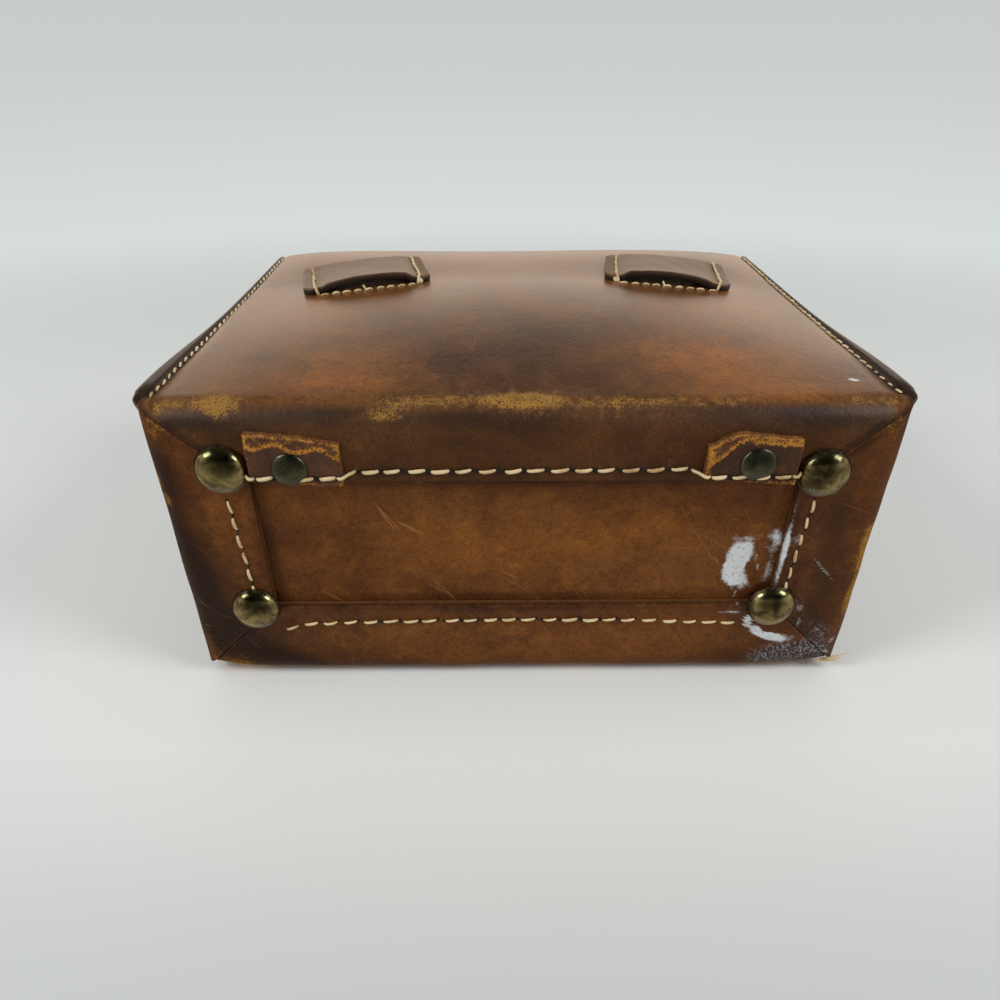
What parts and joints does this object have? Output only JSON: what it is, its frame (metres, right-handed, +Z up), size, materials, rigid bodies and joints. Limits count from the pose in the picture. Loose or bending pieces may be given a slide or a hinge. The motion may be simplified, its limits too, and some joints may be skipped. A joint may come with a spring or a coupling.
{
  "type": "leather camera case",
  "caption": "Rectangular leather box case with a hinged lid, a turn clasp, two strap loops on its back and dome feet under its base.",
  "frame": {"origin": "middle of the whole object in plan, on the surface that its feet stand on", "axes": "+Z up, the front with its flap and clasp faces -Y, the back with its strap loops faces +Y, X along the width"},
  "size_m": [0.2178, 0.1179, 0.17],
  "materials": {
    "saddle_leather": "satin",
    "back_leather": "satin",
    "base_leather": "satin",
    "strap_leather": "satin",
    "board": "matte",
    "lining": "matte",
    "antique_brass": "satin",
    "dark_rivet": "satin"
  },
  "bodies": {
    "case_body": {"back_panel": "back_leather", "front_panel": "saddle_leather", "left_side_panel": "saddle_leather", "right_side_panel": "saddle_leather", "base_panel": "base_leather", "left_strap_tab": "strap_leather", "right_strap_tab": "strap_leather", "left_strap_loop": "strap_leather", "right_strap_loop": "strap_leather", "hinge_fold": "back_leather", "base_board": "board", "front_board": "board", "back_board": "board", "left_board": "board", "right_board": "board", "base_lining": "lining", "front_lining": "lining", "back_lining": "lining", "left_lining": "lining", "right_lining": "lining", "base_feet": "antique_brass", "foot_washers": "antique_brass", "strap_tab_rivets": "dark_rivet", "strap_tab_washers": "antique_brass", "clasp_base_plate": "antique_brass", "clasp_plate_pins": "antique_brass", "clasp_washer": "antique_brass"},
    "lid": {"lid_top": "back_leather", "lid_front_flap": "saddle_leather", "lid_left_skirt": "saddle_leather", "lid_right_skirt": "saddle_leather", "lid_board": "board", "lid_lining": "lining", "flap_lining": "lining", "clasp_strike_plate": "antique_brass", "strike_plate_pins": "antique_brass"},
    "turn_button": {"turn_button": "antique_brass"}
  },
  "joints": [
    {"name": "lid_hinge", "type": "hinge", "parent": "case_body", "child": "lid", "pos_m": [0, 0.04351, 0.163], "axis": [-1, 0, 0], "range_deg": [0, 180], "deforming": ["hinge_fold"]},
    {"name": "button_turn", "type": "hinge", "parent": "case_body", "child": "turn_button", "pos_m": [0, -0.05499, 0.093], "axis": [0, -1, 0], "range_deg": [0, 90]}
  ]
}
